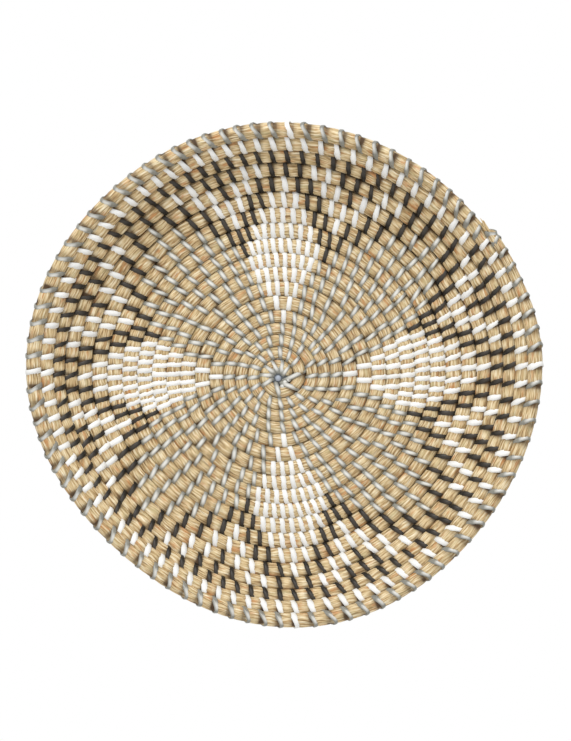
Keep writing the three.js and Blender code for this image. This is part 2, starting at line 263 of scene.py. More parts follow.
def pitch_at(turn):
    """How far apart two turns of the coil lie, measured up the slope."""
    base = (BASE_PITCH - EYE_PITCH) * smooth((turn - BASE_PITCH_FROM) / BASE_PITCH_OVER)
    wall = (WALL_PITCH - BASE_PITCH) * smooth((turn - WALL_PITCH_FROM) / WALL_PITCH_OVER)
    return EYE_PITCH + base + wall


def slope_at(turn):
    """How steeply the bowl rises there: flat in the base, steep in the wall."""
    return WALL_SLOPE * smooth((turn - BEND_FROM) / BEND_OVER)


def half_at(turn):
    """Half the width of the bundle before the stitches draw it in, thinned at its two ends."""
    full = pitch_at(turn)
    start = START_THICKNESS + (full - START_THICKNESS) * smooth(turn / START_TAPER)
    start = start * (1 - START_THINNING * smooth(turn / START_TURN))
    share = (TURNS - turn - TAIL_TURNS + TAIL_TAPER_TURNS) / TAIL_TAPER_TURNS
    full = full * (1 - RIM_SLIMMING * smooth(turn - TURNS + RIM_SLIMMING_TURNS))
    tail = TAIL_THICKNESS + (full - TAIL_THICKNESS) * smooth(share)
    point = np.sqrt(np.clip((TURNS - turn) / END_POINT_TURNS, END_POINT_LEAST, 1))
    return np.minimum(start, tail) / 2 * point


fine_turns = (np.arange(TURNS * FINE_STEPS) + 0.5) / FINE_STEPS
fine_pitch = pitch_at(fine_turns) / FINE_STEPS
fine_radii = np.concatenate(([0.0], np.cumsum(fine_pitch * np.cos(slope_at(fine_turns))))) + START_RADIUS
fine_rises = np.concatenate(([0.0], np.cumsum(fine_pitch * np.sin(slope_at(fine_turns)))))
fine_places = np.arange(TURNS * FINE_STEPS + 1) / FINE_STEPS


def uneven_gain(turn, angle):
    """How far the hand-made coil lies out from the regular spiral."""
    share = turn / TURNS
    gain = np.interp(turn, GAIN_TURNS, GAINS) * MM
    at_eye = (1 - share) ** 2 * np.clip(WAVE_AT_START + (1 - WAVE_AT_START) * turn, 0, 1)
    weights = (at_eye, 2 * share * (1 - share), share ** 2)
    for waves, *parts in WAVES:
        for weight, (cosine_part, sine_part) in zip(weights, parts):
            wave = cosine_part * np.cos(waves * angle) + sine_part * np.sin(waves * angle)
            gain = gain + wave * MM * weight
    return gain


def coil_frames(turn):
    """Middle of the bundle, its directions across, out of the front and along, and half its width."""
    angle = SEAM_ANGLE + turn * FULL_TURN
    slope = slope_at(turn)
    radius = np.interp(turn, fine_places, fine_radii)
    radius = radius + EYE_OPENING * np.clip(1 - turn, 0, 1) ** 2
    radius = radius + uneven_gain(turn, angle)
    full_half = pitch_at(turn) / 2
    half = half_at(turn)
    outward = np.stack([np.cos(angle), np.zeros_like(angle), np.sin(angle)], axis=-1)
    forward = np.array([0.0, -1.0, 0.0])
    across = outward * np.cos(slope)[..., None] + forward * np.sin(slope)[..., None]
    front = forward * np.cos(slope)[..., None] - outward * np.sin(slope)[..., None]
    along = np.stack([-np.sin(angle), np.zeros_like(angle), np.cos(angle)], axis=-1)
    is_tail = turn > TURNS - TAIL_TURNS
    seat = np.where(is_tail, full_half, half) * (np.cos(slope) + BACK_WIDTH * np.sin(slope))
    rise = np.interp(turn, fine_places, fine_rises) + seat
    middle = outward * radius[..., None] + forward * rise[..., None]
    # The thin tail lies against the turn below it
    middle = middle + across * np.where(is_tail, half - full_half, 0.0)[..., None]
    return middle, across, front, along, half


def turn_at(ring, angle):
    """The place along the coil at which a ring, counted from the rim, passes an angle."""
    return TURNS - ring + ((angle - SEAM_ANGLE) % FULL_TURN) / FULL_TURN


def chevron_colour(ring, count):
    """Colour and figure of a stitch of the chevron rings, from its count from the nearest petal's middle."""
    row = CHEVRON_INNER_RING - ring
    level = row - abs(count - CHEVRON_STEPS)
    if level < 0:
        return ("white", "petal") if count < CHEVRON_STEPS else ("grey", "field")
    if level < 2:
        return "black", "outer"
    if level < 4:
        return "white", "middle"
    return "black", "core"


def petal_axis(ring, petal):
    """The angle of a petal's middle in a ring: the hand-made petals turn a little on their way in."""
    steps_in = min(ring, CHEVRON_INNER_RING) - 1
    tip_share = float(np.interp(ring, PETAL_TIP_RINGS, (0, 1)))
    twist = PETAL_TWISTS[petal] * steps_in / (CHEVRON_INNER_RING - 1)
    return PETAL_ANGLES[petal] + twist + PETAL_TIP_TWISTS[petal] * tip_share


def quarter_spacing(ring):
    """How close and how skewed the stitches of a ring stand, each by quarter."""
    if ring == 1:
        return RIM_QUARTER_PACKINGS, OUTER_QUARTER_SKEWS
    if ring < CHEVRON_OUTER_RING:
        return OUTER_QUARTER_PACKINGS, OUTER_QUARTER_SKEWS
    if ring > CHEVRON_INNER_RING:
        return INNER_QUARTER_PACKINGS, INNER_QUARTER_SKEWS
    return QUARTER_PACKINGS, QUARTER_SKEWS


def stitch_angle(ring, petal, even_share):
    """The angle of a stitch that would stand at an even share of its quarter."""
    packings, skews = quarter_spacing(ring)
    packing = PACKING.get(ring, 0) * packings[petal]
    share = even_share - packing * math.sin(FULL_TURN * even_share)
    share += packing * PACKING_SHARPNESS * math.sin(2 * FULL_TURN * even_share)
    share -= skews[petal] * math.sin(math.pi * even_share) ** 2
    span = (petal_axis(ring, (petal + 1) % 4) - petal_axis(ring, petal)) % FULL_TURN
    return petal_axis(ring, petal) + span * share


def stitch_figure(ring, petal, place, quarter, angle):
    """Colour of a stitch and the name of the piece that it belongs to."""
    nearest = min(place, quarter - place)
    side = "left" if place < quarter / 2 else "right"
    owner = PETAL_NAMES[petal if side == "left" else (petal + 1) % 4]
    if ring == 1:
        return ("grey", "rim_grey_twine") if nearest else ("white", f"rim_white_stitch_{owner}")
    if ring == 2:
        return "white", "second_turn_white_twine"
    if ring == 3:
        return "black", "third_turn_black_twine"
    if ring > CHEVRON_INNER_RING:
        is_petal = nearest < PETAL_WHITES.get(ring, 0) / 2
        return ("white", f"petal_{owner}_white_twine") if is_petal else ("grey", "field_grey_wraps")
    # Past the seam the same row is one ring nearer the rim, and the east petal's pattern follows the row
    beyond_seam = petal == SEAM_QUARTER and side == "left" and angle > SEAM_ANGLE
    colour, figure = chevron_colour(ring + 1 if beyond_seam else ring, nearest)
    if figure == "petal":
        return colour, f"petal_{owner}_white_twine"
    if figure == "field":
        return colour, "field_grey_wraps"
    return colour, f"chevron_{owner}_{side}_{colour}_{figure}"


def stitch_list():
    """Every stitch as turn, colour and the name of the piece that it belongs to."""
    stitches = [(turn_at(EYE_RING, angle), "grey", "eye_grey_wraps") for angle in EYE_STITCH_ANGLES]
    for ring, counts in QUARTER_STITCHES.items():
        # Where a petal has an even number of white stitches, its axis passes between two of them
        first = 0.5 if PETAL_WHITES.get(ring, 1) % 2 == 0 else 0.0
        for petal, quarter in enumerate(counts):
            for index in range(quarter):
                place = first + index
                angle = stitch_angle(ring, petal, place / quarter)
                colour, name = stitch_figure(ring, petal, place, quarter, angle)
                stitches.append((turn_at(ring, angle), colour, name))
    return sorted(stitch for stitch in stitches if stitch[0] < CROSS_TURN - CROSS_GAP_TURNS)


# Colours and materials


def linear(code):
    """An sRGB hex colour as the linear RGBA that shaders take."""
    parts = [int(code[start:start + 2], 16) / 255 for start in (0, 2, 4)]
    lit = [part / 12.92 if part <= 0.04045 else ((part + 0.055) / 1.055) ** 2.4 for part in parts]
    return (*lit, 1.0)


def add(tree, kind, inputs=None, **settings):
    """Adds a node with its settings; its inputs are given values or are linked from a node or a socket."""
    node = tree.nodes.new(kind)
    for name, value in settings.items():
        setattr(node, name, value)
    for key, value in (inputs or {}).items():
        if isinstance(value, bpy.types.Node):
            value = value.outputs[0]
        if isinstance(value, bpy.types.NodeSocket):
            tree.links.new(value, node.inputs[key])
        else:
            node.inputs[key].default_value = value
    return node


def new_material(name):
    material = bpy.data.materials.new(name)
    material.use_nodes = True
    material.node_tree.nodes.clear()
    return material, material.node_tree


def fill_ramp(ramp, stops):
    elements = ramp.color_ramp.elements
    while len(elements) < len(stops):
        elements.new(0.5)
    for element, (place, code) in zip(elements, stops):
        element.position = place
        element.color = linear(code)


def grain(along_mm, across_mm):
    """The scale of a pattern on a map in metres, from the size of its grain."""
    return 1 / (along_mm * MM), 1 / (across_mm * MM), 1.0


# Grain of the seagrass: blades and how they wander, rusty and olive patches, fine lines, and spots over which
# the painted groove shade is paler or darker.
# The lines are drawn coarser than the real ones, as coarse as they need to be to show.
BLADE_GRAIN = grain(13.333, 1.3158)
WANDER_GRAIN = grain(14.286, 16.667)
BLADE_WANDER = 1.6 * MM
PATCH_GRAIN = grain(18.182, 5.2632)
PATCH_START = (3.7, 1.9, 0.0)
LINE_GRAIN = grain(11.765, 0.95238)
SPOT_GRAIN = grain(10.526, 25.0)
SPOT_START = (1.3, 0.4, 0.0)
BLADE_RELIEF = 0.5 * MM
# Straw by its noise; then each colour over it, where it starts and is full on its noise, and its most
STRAW_STOPS = ((0.28, "7a5d39"), (0.42, "bb9e70"), (0.54, "dcc69b"), (0.72, "f6ebcf"))
RUST = ("bf8149", 0.56, 0.68, 0.75)
OLIVE = ("bdb083", 0.44, 0.3, 0.6)
LINE_BROWN = ("6d4f2c", 0.4, 0.28, 0.7)
# The painted shade colour of the grooves, and how much paler and darker than its mean the painted shade is
# from spot to spot
GROOVE_SHADE_BROWN = "4a3620"
SPOT_SPAN = (0.35, 0.65)
SPOT_SHADES = (0.45, 1.35)


def dried_seagrass():
    """Dried seagrass, laid in a bundle: matt straw, with olive and rusty blades and dark lines between."""
    material, tree = new_material("dried_seagrass")

    def covered(below, noise, cover):
        code, start, full, most = cover
        share = add(tree, "ShaderNodeMapRange", {0: noise, 1: start, 2: full, 3: 0.0, 4: most})
        inputs = {0: share, 6: below, 7: linear(code)}
        return add(tree, "ShaderNodeMix", inputs, data_type="RGBA").outputs[2]

    fibre = add(tree, "ShaderNodeAttribute", attribute_name="fibre").outputs["Vector"]
    # Blades are about 1.3 mm wide, keep their colour over some 10 to 20 mm and wander sideways
    wander_place = add(tree, "ShaderNodeMapping", {0: fibre, 3: WANDER_GRAIN})
    wander = add(tree, "ShaderNodeTexNoise", {"Vector": wander_place, "Scale": 1.0, "Detail": 1.0})
    shifted = add(tree, "ShaderNodeMapRange", {0: wander, 1: 0.0, 2: 1.0, 3: -BLADE_WANDER, 4: BLADE_WANDER})
    shift = add(tree, "ShaderNodeCombineXYZ", {1: shifted})
    wandered = add(tree, "ShaderNodeVectorMath", {0: fibre, 1: shift}, operation="ADD")
    blades = add(tree, "ShaderNodeMapping", {0: wandered, 3: BLADE_GRAIN})
    blade_inputs = {"Vector": blades, "Scale": 1.0, "Detail": 2.0, "Roughness": 0.55}
    blade_noise = add(tree, "ShaderNodeTexNoise", blade_inputs)
    straw = add(tree, "ShaderNodeValToRGB", {0: blade_noise})
    fill_ramp(straw, STRAW_STOPS)
    # Rusty and olive blades come in patches of some 10 to 25 mm
    patches = add(tree, "ShaderNodeMapping", {0: fibre, 3: PATCH_GRAIN, 1: PATCH_START})
    patch_inputs = {"Vector": patches, "Scale": 1.0, "Detail": 3.0, "Roughness": 0.6}
    patch_noise = add(tree, "ShaderNodeTexNoise", patch_inputs)
    patched = covered(covered(straw, patch_noise, RUST), patch_noise, OLIVE)
    # Fine dark lines between blades
    lines = add(tree, "ShaderNodeMapping", {0: wandered, 3: LINE_GRAIN})
    line_noise = add(tree, "ShaderNodeTexNoise", {"Vector": lines, "Scale": 1.0, "Detail": 1.0})
    lined = covered(patched, line_noise, LINE_BROWN)
    # Painted shade: the grooves between the turns and the hollows beside the stitches are painted towards a
    # dark brown, unevenly from spot to spot
    shade = add(tree, "ShaderNodeAttribute", attribute_name="shade").outputs["Fac"]
    spots = add(tree, "ShaderNodeMapping", {0: fibre, 3: SPOT_GRAIN, 1: SPOT_START})
    spot_noise = add(tree, "ShaderNodeTexNoise", {"Vector": spots, "Scale": 1.0, "Detail": 2.0})
    spot_inputs = dict(enumerate((spot_noise, *SPOT_SPAN, *SPOT_SHADES)))
    uneven = add(tree, "ShaderNodeMapRange", spot_inputs)
    groove = add(tree, "ShaderNodeMath", {0: shade, 1: uneven}, operation="MULTIPLY", use_clamp=True)
    grooved_inputs = {0: groove, 6: lined, 7: linear(GROOVE_SHADE_BROWN)}
    grooved = add(tree, "ShaderNodeMix", grooved_inputs, data_type="RGBA")
    bump = add(tree, "ShaderNodeBump", {"Strength": 0.8, "Distance": BLADE_RELIEF, "Height": blade_noise})
    shader = add(
        tree,
        "ShaderNodeBsdfPrincipled",
        {"Base Color": grooved.outputs[2], "Roughness": 0.68, "Specular IOR Level": 0.35, "Normal": bump},
    )
    add(tree, "ShaderNodeOutputMaterial", {"Surface": shader})
    return material


# Fine lines that drawing leaves in the twine, on its map in shares of a turn round the bundle and round
# the thread. They are drawn as coarse as they need to be to show.
STREAK_LENGTH = 4.4375 * MM
STREAK_WIDTH = 0.7 * MM
THREAD_GIRTH = 9.8 * MM
STREAK_GRAIN = (BUNDLE_GIRTH / STREAK_LENGTH, THREAD_GIRTH / STREAK_WIDTH, 1.0)
STREAK_RELIEF = 0.2 * MM
# Painted light: from where to where a thread's height on the bundle takes it from its painted-shade groove
# colour to its painted-highlight crown colour
CROWN_HIGHLIGHT_SPAN = (0.72, 0.98)
SIDE_FROM = 0.62
# How much darker or paler one stitch is than another
TONES = (0.9, 1.04)


def plastic_twine(name, codes, roughness, gloss=0.5, highlight_span=CROWN_HIGHLIGHT_SPAN, side_crown=1.0):
    """Extruded plastic twine, drawn tight: satin, with a painted highlight on its crown and painted shade in
    the grooves, and fine lines along it.

    Codes: its painted-shade colour in the groove and its painted-highlight colour on the crown. Side crown:
    how much of the painted highlight the thread's own sides keep.
    """
    material, tree = new_material(name)
    thread = add(tree, "ShaderNodeAttribute", attribute_name="thread").outputs["Vector"]
    # The tone differs at random from stitch to stitch, and also carries the painted shade of the grey twine
    # over the rim
    tone_and_rim_shade = add(tree, "ShaderNodeAttribute", attribute_name="tone_and_rim_shade").outputs["Fac"]
    parts = add(tree, "ShaderNodeSeparateXYZ", {0: thread})
    # The X of the thread's map runs once round the bundle and is 0.25 in the middle of the front. The
    # slope of the bowl is added, so that the painted highlight lies where the thread faces out of the bowl.
    facing = add(tree, "ShaderNodeAttribute", attribute_name="facing").outputs["Fac"]
    turned_inputs = {0: parts.outputs["X"], 1: FULL_TURN, 2: facing}
    turned = add(tree, "ShaderNodeMath", turned_inputs, operation="MULTIPLY_ADD")
    height = add(tree, "ShaderNodeMath", {0: turned}, operation="SINE")
    crown = add(tree, "ShaderNodeMapRange", {0: height, 1: highlight_span[0], 2: highlight_span[1], 3: 0.0, 4: 1.0})
    # A painted highlight also runs along the thread's own middle, where the Y of its map, once round it, is
    # nought
    own_angle = add(tree, "ShaderNodeMath", {0: parts.outputs["Y"], 1: FULL_TURN}, operation="MULTIPLY")
    own_height = add(tree, "ShaderNodeMath", {0: own_angle}, operation="COSINE")
    side = add(tree, "ShaderNodeMapRange", {0: own_height, 1: SIDE_FROM, 2: 1.0, 3: side_crown, 4: 1.0})
    pale = add(tree, "ShaderNodeMath", {0: crown, 1: side}, operation="MULTIPLY")
    colour_inputs = {0: pale, 6: linear(codes[0]), 7: linear(codes[1])}
    colour = add(tree, "ShaderNodeMix", colour_inputs, data_type="RGBA")
    shade = add(tree, "ShaderNodeMapRange", {0: tone_and_rim_shade, 1: 0.0, 2: 1.0, 3: TONES[0], 4: TONES[1]}, clamp=False)
    toned = add(tree, "ShaderNodeVectorMath", {0: colour.outputs[2], "Scale": shade}, operation="SCALE")
    drawn = add(tree, "ShaderNodeMapping", {0: thread, 3: STREAK_GRAIN})
    streaks = add(tree, "ShaderNodeTexNoise", {"Vector": drawn, "Scale": 1.0, "Detail": 2.0})
    bump = add(tree, "ShaderNodeBump", {"Strength": 0.35, "Distance": STREAK_RELIEF, "Height": streaks})
    shader = add(
        tree,
        "ShaderNodeBsdfPrincipled",
        {"Base Color": toned, "Roughness": roughness, "Specular IOR Level": gloss, "Normal": bump},
    )
    add(tree, "ShaderNodeOutputMaterial", {"Surface": shader})
    return material


SEAGRASS = dried_seagrass()
# Each twine: its painted-shade colour in the grooves and painted-highlight colour on the crown, roughness,
# gloss, highlight span and how much highlight its sides keep
TWINES = {
    "grey": plastic_twine("grey_plastic_twine", ("94938a", "e4e3dd"), 0.3, 0.4, (0.8, 0.99), 0.15),
    "white": plastic_twine("white_plastic_twine", ("e9e8e4", "f1f1ef"), 0.45, 0.3, (0.4, 0.85)),
    "black": plastic_twine("black_plastic_twine", ("221e19", "3f3a34"), 0.45, 0.3),
    "slate": plastic_twine("slate_grey_plastic_twine", ("3c4143", "5a6064"), 0.35),
    "blue": plastic_twine("blue_grey_plastic_twine", ("8b95a3", "a9b2c0"), 0.3),
}


# Geometry node trees


def new_tree(name, inputs):
    """A geometry tree with one geometry in and out and the named inputs, and its two end nodes."""
    tree = bpy.data.node_groups.new(name, "GeometryNodeTree")
    tree.interface.new_socket("Geometry", in_out="INPUT", socket_type="NodeSocketGeometry")
    for label, kind in inputs.items():
        tree.interface.new_socket(label, in_out="INPUT", socket_type=kind)
    tree.interface.new_socket("Geometry", in_out="OUTPUT", socket_type="NodeSocketGeometry")
    return tree, tree.nodes.new("NodeGroupInput"), tree.nodes.new("NodeGroupOutput")


def grid_places(tree, count_along, steps_round):
    """A grid that is to be rolled up, with its place along as an index and its place round as a share."""
    columns = add(tree, "FunctionNodeIntegerMath", {0: steps_round, 1: 1}, operation="ADD")
    grid = add(tree, "GeometryNodeMeshGrid", {"Vertices X": count_along, "Vertices Y": columns})
    index = add(tree, "GeometryNodeInputIndex")
    along = add(tree, "FunctionNodeIntegerMath", {0: index, 1: columns}, operation="DIVIDE_FLOOR")
    skipped = add(tree, "FunctionNodeIntegerMath", {0: along, 1: columns}, operation="MULTIPLY")
    round_index = add(tree, "FunctionNodeIntegerMath", {0: index, 1: skipped}, operation="SUBTRACT")
    share = add(tree, "ShaderNodeMath", {0: round_index, 1: steps_round}, operation="DIVIDE")
    return grid, along, share


def rounded_square(tree, share, squareness):
    """Cosine and sine of a share of a turn, and the radius there of a squared circle."""
    angle = add(tree, "ShaderNodeMath", {0: share, 1: FULL_TURN}, operation="MULTIPLY")
    cosine = add(tree, "ShaderNodeMath", {0: angle}, operation="COSINE")
    sine = add(tree, "ShaderNodeMath", {0: angle}, operation="SINE")
    powers = []
    for part in (cosine, sine):
        size = add(tree, "ShaderNodeMath", {0: part}, operation="ABSOLUTE")
        powers.append(add(tree, "ShaderNodeMath", {0: size, 1: squareness}, operation="POWER"))
    total = add(tree, "ShaderNodeMath", {0: powers[0], 1: powers[1]}, operation="ADD")
    root = add(tree, "ShaderNodeMath", {0: -1.0, 1: squareness}, operation="DIVIDE")
    radius = add(tree, "ShaderNodeMath", {0: total, 1: root}, operation="POWER")
    return cosine, sine, radius


def corner_map(tree, grid, name, value):
    """Stores a map on the corners, so that it stays whole where the rolled grid is closed."""
    taken = tree.nodes.new("GeometryNodeCaptureAttribute")
    taken.capture_items.new("VECTOR", "Map")
    tree.links.new(grid.outputs[0], taken.inputs["Geometry"])
    tree.links.new(value.outputs[0], taken.inputs["Map"])
    return add(
        tree,
        "GeometryNodeStoreNamedAttribute",
        {"Geometry": taken.outputs["Geometry"], "Name": name, "Value": taken.outputs["Map"]},
        data_type="FLOAT2",
        domain="CORNER",
    )


def rolled_up(tree, grid, place):
    """Puts a mapped grid in its rolled place and closes it, with a smooth skin."""
    rolled = add(tree, "GeometryNodeSetPosition", {"Geometry": grid, "Position": place})
    closed = add(tree, "GeometryNodeMergeByDistance", {"Geometry": rolled, "Distance": WELD})
    return add(tree, "GeometryNodeSetShadeSmooth", {"Geometry": closed})


def finish_tree(tree, geometry, inside, outside):
    """Ends a tree with real geometry and its material."""
    real = add(tree, "GeometryNodeRealizeInstances", {"Geometry": geometry})
    material = inside.outputs["Material"]
    painted = add(tree, "GeometryNodeSetMaterial", {"Geometry": real, "Material": material})
    tree.links.new(painted.outputs[0], outside.inputs[0])


def strand_ridges(tree, inside, run, share, cosine, sine):
    """How far the strands stand out of the bundle's skin, as shares of their depth, twisted round it."""
    far = add(tree, "ShaderNodeMath", {0: run, 1: WANDERS_PER_METRE}, operation="MULTIPLY")
    wander_place = add(tree, "ShaderNodeCombineXYZ", {0: far, 1: cosine, 2: sine})
    wander = add(tree, "ShaderNodeTexNoise", {"Vector": wander_place, "Scale": 1.0, "Detail": 1.0})
    twist = inside.outputs["Twist per metre"]
    turned = add(tree, "ShaderNodeMath", {0: run, 1: twist}, operation="MULTIPLY")
    wandered = add(tree, "ShaderNodeMath", {0: wander, 1: STRAND_WANDER, 2: share}, operation="MULTIPLY_ADD")
    placed = add(tree, "ShaderNodeMath", {0: turned, 1: wandered}, operation="ADD")
    phase = add(tree, "ShaderNodeMath", {0: placed, 1: inside.outputs["Strands"]}, operation="MULTIPLY")
    half_turn = add(tree, "ShaderNodeMath", {0: phase, 1: math.pi}, operation="MULTIPLY")
    wave = add(tree, "ShaderNodeMath", {0: half_turn}, operation="SINE")
    ridge = add(tree, "ShaderNodeMath", {0: wave}, operation="ABSOLUTE")
    return add(tree, "ShaderNodeMath", {0: ridge, 1: RIDGE_MIDDLE}, operation="SUBTRACT")


def painted_groove_shade(tree, cosine, shades):
    """Painted shade of the groove on either side of the bundle and beside the stitches, whichever is more."""
    beside = shades.outputs[2]
    edge_inputs = {0: beside, 1: -GROOVE_WIDENING, 2: GROOVE_FROM}
    edge = add(tree, "ShaderNodeMath", edge_inputs, operation="MULTIPLY_ADD")
    back_edge = add(tree, "ShaderNodeMath", {0: edge, 1: -1.0}, operation="MULTIPLY")
    outer_inputs = {0: cosine, 1: edge, 2: GROOVE_FULL, 3: 0.0, 4: shades.outputs[0]}
    outer = add(tree, "ShaderNodeMapRange", outer_inputs)
    inner_inputs = {0: cosine, 1: back_edge, 2: -GROOVE_FULL, 3: 0.0, 4: shades.outputs[1]}
    inner = add(tree, "ShaderNodeMapRange", inner_inputs)
    grooves = add(tree, "ShaderNodeMath", {0: outer, 1: inner}, operation="MAXIMUM")
    return add(tree, "ShaderNodeMath", {0: grooves, 1: beside}, operation="MAXIMUM")


def wound_bundle_tree():
    """Rolls a grid round a path of places into a bundle of strands."""
    tree, inside, outside = new_tree(
        "wound bundle",
        {
            "Steps round": "NodeSocketInt",
            "Strands": "NodeSocketFloat",
            "Strand depth": "NodeSocketFloat",
            "Squareness": "NodeSocketFloat",
            "Twist per metre": "NodeSocketFloat",
            "Material": "NodeSocketMaterial",
        },
    )
    path = inside.outputs["Geometry"]
    count = add(tree, "GeometryNodeAttributeDomainSize", {"Geometry": path})
    grid, row, share = grid_places(tree, count.outputs["Point Count"], inside.outputs["Steps round"])
    cosine, sine, radius = rounded_square(tree, share, inside.outputs["Squareness"])

    def sampled(value, kind="FLOAT_VECTOR"):
        inputs = {"Geometry": path, "Value": value, "Index": row}
        return add(tree, "GeometryNodeSampleIndex", inputs, data_type=kind)

    def stored(name, kind="FLOAT_VECTOR"):
        return sampled(add(tree, "GeometryNodeInputNamedAttribute", {"Name": name}, data_type=kind), kind)

    middle = sampled(add(tree, "GeometryNodeInputPosition"))
    across = stored("across")
    front = stored("front")
    sizes = add(tree, "ShaderNodeSeparateXYZ", {0: stored("size")})
    run = stored("run", "FLOAT")
    shades = add(tree, "ShaderNodeSeparateXYZ", {0: stored("shades")})

    ridges = strand_ridges(tree, inside, run, share, cosine, sine)
    depth_inputs = {0: inside.outputs["Strand depth"], 1: sizes.outputs[2]}
    full_depth = add(tree, "ShaderNodeMath", depth_inputs, operation="MULTIPLY")
    raised = add(tree, "ShaderNodeMath", {0: ridges, 1: full_depth}, operation="MULTIPLY")
    steps = []
    for direction, part, half in ((across, cosine, sizes.outputs[0]), (front, sine, sizes.outputs[1])):
        reach = add(tree, "ShaderNodeMath", {0: half, 1: radius, 2: raised}, operation="MULTIPLY_ADD")
        length = add(tree, "ShaderNodeMath", {0: reach, 1: part}, operation="MULTIPLY")
        steps.append(add(tree, "ShaderNodeVectorMath", {0: direction, "Scale": length}, operation="SCALE"))
    offset = add(tree, "ShaderNodeVectorMath", {0: steps[0], 1: steps[1]}, operation="ADD")
    place = add(tree, "ShaderNodeVectorMath", {0: middle, 1: offset}, operation="ADD")

    # The bundle's own map, in metres: along it, and round its skin
    girth = add(tree, "ShaderNodeMath", {0: share, 1: BUNDLE_GIRTH}, operation="MULTIPLY")
    fibre = add(tree, "ShaderNodeCombineXYZ", {0: run, 1: girth})
    # Painted shade of the grooves and of the hollows beside the stitches, stored for the seagrass material
    mapped = add(
        tree,
        "GeometryNodeStoreNamedAttribute",
        {
            "Geometry": corner_map(tree, grid, "fibre", fibre),
            "Name": "shade",
            "Value": painted_groove_shade(tree, cosine, shades),
        },
        data_type="FLOAT",
        domain="POINT",
    )
    finish_tree(tree, rolled_up(tree, mapped, place), inside, outside)
    return tree


def twine_wraps_tree():
    """Puts a closed loop of twine round the bundle at each point."""
    tree, inside, outside = new_tree(
        "twine wraps",
        {
            "Steps": "NodeSocketInt",
            "Sides": "NodeSocketInt",
            "Squareness": "NodeSocketFloat",
            "Width": "NodeSocketFloat",
            "Thickness share": "NodeSocketFloat",
            "Material": "NodeSocketMaterial",
        },
    )
    columns = add(tree, "FunctionNodeIntegerMath", {0: inside.outputs["Steps"], 1: 1}, operation="ADD")
    grid, row, side_share = grid_places(tree, columns, inside.outputs["Sides"])
    share = add(tree, "ShaderNodeMath", {0: row, 1: inside.outputs["Steps"]}, operation="DIVIDE")
    cosine, sine, radius = rounded_square(tree, share, inside.outputs["Squareness"])
    side_angle = add(tree, "ShaderNodeMath", {0: side_share, 1: FULL_TURN}, operation="MULTIPLY")
    side_cosine = add(tree, "ShaderNodeMath", {0: side_angle}, operation="COSINE")
    side_sine = add(tree, "ShaderNodeMath", {0: side_angle}, operation="SINE")
    lifted = add(tree, "ShaderNodeMath", {0: side_cosine, 1: THREAD_LIFT}, operation="ADD")
    thickness = inside.outputs["Thickness share"]
    height = add(tree, "ShaderNodeMath", {0: lifted, 1: thickness}, operation="MULTIPLY")
    reach = add(tree, "ShaderNodeMath", {0: radius, 1: height}, operation="ADD")
    x = add(tree, "ShaderNodeMath", {0: reach, 1: cosine}, operation="MULTIPLY")
    y = add(tree, "ShaderNodeMath", {0: reach, 1: sine}, operation="MULTIPLY")
    # The thread is squeezed a little narrower in the grooves
    crown = add(tree, "ShaderNodeMath", {0: sine}, operation="ABSOLUTE")
    spread_inputs = {0: crown, 1: CROWN_THREAD_GAIN, 2: GROOVE_THREAD_WIDTH}
    spread = add(tree, "ShaderNodeMath", spread_inputs, operation="MULTIPLY_ADD")
    half_width = add(tree, "ShaderNodeMath", {0: inside.outputs["Width"], 1: 0.5}, operation="MULTIPLY")
    width = add(tree, "ShaderNodeMath", {0: half_width, 1: spread}, operation="MULTIPLY")
    z = add(tree, "ShaderNodeMath", {0: width, 1: side_sine}, operation="MULTIPLY")
    place = add(tree, "ShaderNodeCombineXYZ", {0: x, 1: y, 2: z})
    thread = add(tree, "ShaderNodeCombineXYZ", {0: share, 1: side_share})
    loop = rolled_up(tree, corner_map(tree, grid, "thread", thread), place)
    across, front, size = (
        add(tree, "GeometryNodeInputNamedAttribute", {"Name": name}, data_type="FLOAT_VECTOR")
        for name in ("across", "front", "size")
    )
    turned = add(
        tree,
        "FunctionNodeAxesToRotation",
        {"Primary Axis": across, "Secondary Axis": front},
        primary_axis="X",
        secondary_axis="Y",
    )
    points = add(tree, "GeometryNodeMeshToPoints", {"Mesh": inside.outputs["Geometry"]})
    placed = add(
        tree,
        "GeometryNodeInstanceOnPoints",
        {"Points": points, "Instance": loop, "Rotation": turned, "Scale": size},
    )
    finish_tree(tree, placed, inside, outside)
    return tree


def linked_object(name, data):
    item = bpy.data.objects.new(name, data)
    bpy.context.scene.collection.objects.link(item)
    return item


def place_mesh(name, places, vectors, numbers):
    """A mesh of loose points with attributes, for a tree to work on."""
    mesh = bpy.data.meshes.new(name)
    mesh.vertices.add(len(places))
    mesh.vertices.foreach_set("co", np.ascontiguousarray(places, dtype=np.float32).ravel())
    for label, values in vectors.items():
        layer = mesh.attributes.new(label, "FLOAT_VECTOR", "POINT")
        layer.data.foreach_set("vector", np.ascontiguousarray(values, dtype=np.float32).ravel())
    for label, values in numbers.items():
        layer = mesh.attributes.new(label, "FLOAT", "POINT")
        layer.data.foreach_set("value", np.ascontiguousarray(values, dtype=np.float32))
    return mesh


def apply_tree(name, mesh, tree, values):
    """Runs a tree on a mesh with the named inputs and returns the plain mesh object that it makes."""
    piece = linked_object(name, mesh)
    modifier = piece.modifiers.new("tree", "NODES")
    modifier.node_group = tree
    for item in tree.interface.items_tree:
        if item.item_type == "SOCKET" and item.in_out == "INPUT" and item.name in values:
            modifier[item.identifier] = values[item.name]
    bpy.context.view_layer.update()
    evaluated = piece.evaluated_get(bpy.context.evaluated_depsgraph_get())
    made = bpy.data.meshes.new_from_object(evaluated)
    piece.modifiers.remove(modifier)
    piece.data = made
    made.name = name
    outward_faces(made)
    return piece


def outward_faces(mesh):
    """Turns the faces of closed shells outwards."""
    work = bmesh.new()
    work.from_mesh(mesh)
    bmesh.ops.recalc_face_normals(work, faces=work.faces)
    work.to_mesh(mesh)
    work.free()


